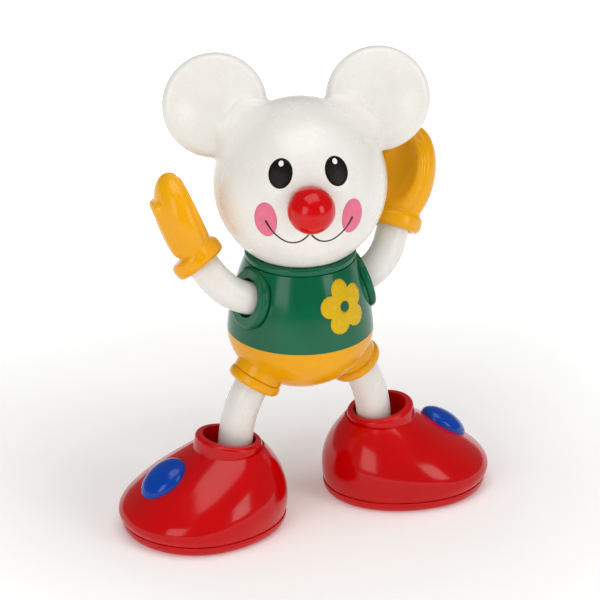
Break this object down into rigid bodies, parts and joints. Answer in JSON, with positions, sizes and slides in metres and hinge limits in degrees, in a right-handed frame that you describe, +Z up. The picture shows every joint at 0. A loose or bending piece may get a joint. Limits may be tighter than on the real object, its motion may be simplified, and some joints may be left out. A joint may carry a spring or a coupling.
{
  "type": "clockwork mouse",
  "caption": "Standing toy mouse in jointed glossy plastic, hands raised, big round ears, toes turned out, with a spring movement in its body and a winding key at its back.",
  "frame": {"origin": "centre of the bounding box on the ground, under the body axis, soles on z = 0", "axes": "+Z up; the body and the shirt face -Y; +X is the mouse's own left; the head is turned 18.5 degrees towards its right at rest"},
  "size_m": [0.1484, 0.085, 0.1765],
  "materials": {
    "shirt_green": "gloss",
    "shorts_yellow": "gloss",
    "body_white": "gloss",
    "shoe_red": "gloss",
    "button_blue": "gloss",
    "inner_grey": "matt",
    "wheel_brass": "satin",
    "works_steel": "satin",
    "key_chrome": "polished",
    "print_black": "gloss",
    "print_white": "gloss",
    "print_pink": "gloss",
    "print_brown": "gloss",
    "print_yellow": "gloss"
  },
  "bodies": {
    "torso": {"shirt_front_shell": "shirt_green", "shirt_back_shell": "shirt_green", "shorts_shell": "shorts_yellow", "collar_ring": "shirt_green", "sleeve_ring_left": "shirt_green", "sleeve_ring_right": "shirt_green", "leg_cuff_left": "shorts_yellow", "leg_cuff_right": "shorts_yellow", "shirt_screws": "works_steel", "motor_screws": "works_steel", "motor_front_plate": "works_steel", "motor_back_plate": "works_steel", "plate_pillars": "works_steel", "mainspring": "works_steel"},
    "head": {"head_front_shell": "body_white", "head_back_shell": "body_white", "nose": "shoe_red", "neck_spindle": "inner_grey", "neck_clip": "inner_grey", "neck_lever": "inner_grey"},
    "winder": {"winding_key": "key_chrome", "winding_arbor": "works_steel", "ratchet_wheel": "wheel_brass"},
    "great": {"great_wheel": "wheel_brass", "click_spring": "works_steel"},
    "click_lever": {"click": "works_steel"},
    "second": {"second_wheel": "wheel_brass", "second_arbor": "works_steel", "crank": "works_steel"},
    "third": {"third_wheel": "wheel_brass", "third_arbor": "works_steel"},
    "escape": {"escape_wheel": "wheel_brass", "escape_arbor": "works_steel"},
    "rocker": {"pallet": "works_steel"},
    "left_arm": {"arm_left": "body_white"},
    "left_hand": {"glove_left": "shorts_yellow"},
    "left_leg": {"leg_left": "body_white", "hip_cap_left": "inner_grey", "ankle_cap_left": "inner_grey"},
    "left_foot": {"shoe_upper_left": "shoe_red", "shoe_sole_left": "shoe_red", "toe_button_left": "button_blue", "sole_screws_left": "works_steel"},
    "right_arm": {"arm_right": "body_white"},
    "right_hand": {"glove_right": "shorts_yellow"},
    "right_leg": {"leg_right": "body_white", "hip_cap_right": "inner_grey", "ankle_cap_right": "inner_grey"},
    "right_foot": {"shoe_upper_right": "shoe_red", "shoe_sole_right": "shoe_red", "toe_button_right": "button_blue", "sole_screws_right": "works_steel"}
  },
  "joints": [
    {"name": "head_turn", "type": "hinge", "parent": "torso", "child": "head", "pos_m": [0, 0, 0.0954], "axis": [0, 0, 1], "range_deg": [-41.5, 78.5]},
    {"name": "left_shoulder", "type": "hinge", "parent": "torso", "child": "left_arm", "pos_m": [0.018, -0.004, 0.0883], "axis": [0.9576, -0.0838, 0.2756], "range_deg": [-62, 208]},
    {"name": "left_wrist", "type": "hinge", "parent": "left_arm", "child": "left_hand", "pos_m": [0.03993, 0.00123, 0.10836], "axis": [0.4308, 0.3337, 0.8385], "range_deg": [-90, 90]},
    {"name": "left_hip", "type": "hinge", "parent": "torso", "child": "left_leg", "pos_m": [0.0164, -0.004, 0.0625], "axis": [0.5299, 0, -0.848], "range_deg": [-30, 30]},
    {"name": "left_ankle", "type": "hinge", "parent": "left_leg", "child": "left_foot", "pos_m": [0.0288, -0.004, 0.022], "axis": [0, 0, 1], "range_deg": [-90, 30]},
    {"name": "right_shoulder", "type": "hinge", "parent": "torso", "child": "right_arm", "pos_m": [-0.018, -0.004, 0.0883], "axis": [-0.9576, -0.0838, 0.2756], "range_deg": [-220, 50]},
    {"name": "right_wrist", "type": "hinge", "parent": "right_arm", "child": "right_hand", "pos_m": [-0.04064, 0.0038, 0.10666], "axis": [-0.468, 0.4675, 0.75], "range_deg": [-90, 90]},
    {"name": "right_hip", "type": "hinge", "parent": "torso", "child": "right_leg", "pos_m": [-0.0164, -0.004, 0.0625], "axis": [-0.5299, 0, -0.848], "range_deg": [-30, 30]},
    {"name": "right_ankle", "type": "hinge", "parent": "right_leg", "child": "right_foot", "pos_m": [-0.0288, -0.004, 0.022], "axis": [0, 0, 1], "range_deg": [-30, 90]},
    {"name": "key_turn", "type": "hinge", "parent": "torso", "child": "winder", "pos_m": [0, 0.01, 0.079], "axis": [0, 1, 0], "continuous": true},
    {"name": "great_turn", "type": "hinge", "parent": "torso", "child": "great", "pos_m": [0, 0.0087, 0.079], "axis": [0, 1, 0], "continuous": true},
    {"name": "click_lift", "type": "hinge", "parent": "great", "child": "click_lever", "pos_m": [0.0059, 0.0082, 0.08092], "axis": [0, 1, 0], "range_deg": [0, 12], "stiffness_Nm_per_rad": 0.0005},
    {"name": "second_turn", "type": "hinge", "parent": "torso", "child": "second", "pos_m": [0, 0.008, 0.0665], "axis": [0, 1, 0], "continuous": true},
    {"name": "third_turn", "type": "hinge", "parent": "torso", "child": "third", "pos_m": [0.01, 0.008, 0.0665], "axis": [0, 1, 0], "continuous": true},
    {"name": "escape_turn", "type": "hinge", "parent": "torso", "child": "escape", "pos_m": [0.01139, 0.008, 0.07438], "axis": [0, 1, 0], "continuous": true},
    {"name": "pallet_rock", "type": "hinge", "parent": "torso", "child": "rocker", "pos_m": [0.01129, 0.008, 0.08198], "axis": [0, 1, 0], "range_deg": [-2.5, 2.5]}
  ],
  "couplings": [
    {"joint": "second_turn", "follows": "great_turn", "ratio": -4},
    {"joint": "third_turn", "follows": "great_turn", "ratio": 16},
    {"joint": "escape_turn", "follows": "great_turn", "ratio": -48}
  ]
}
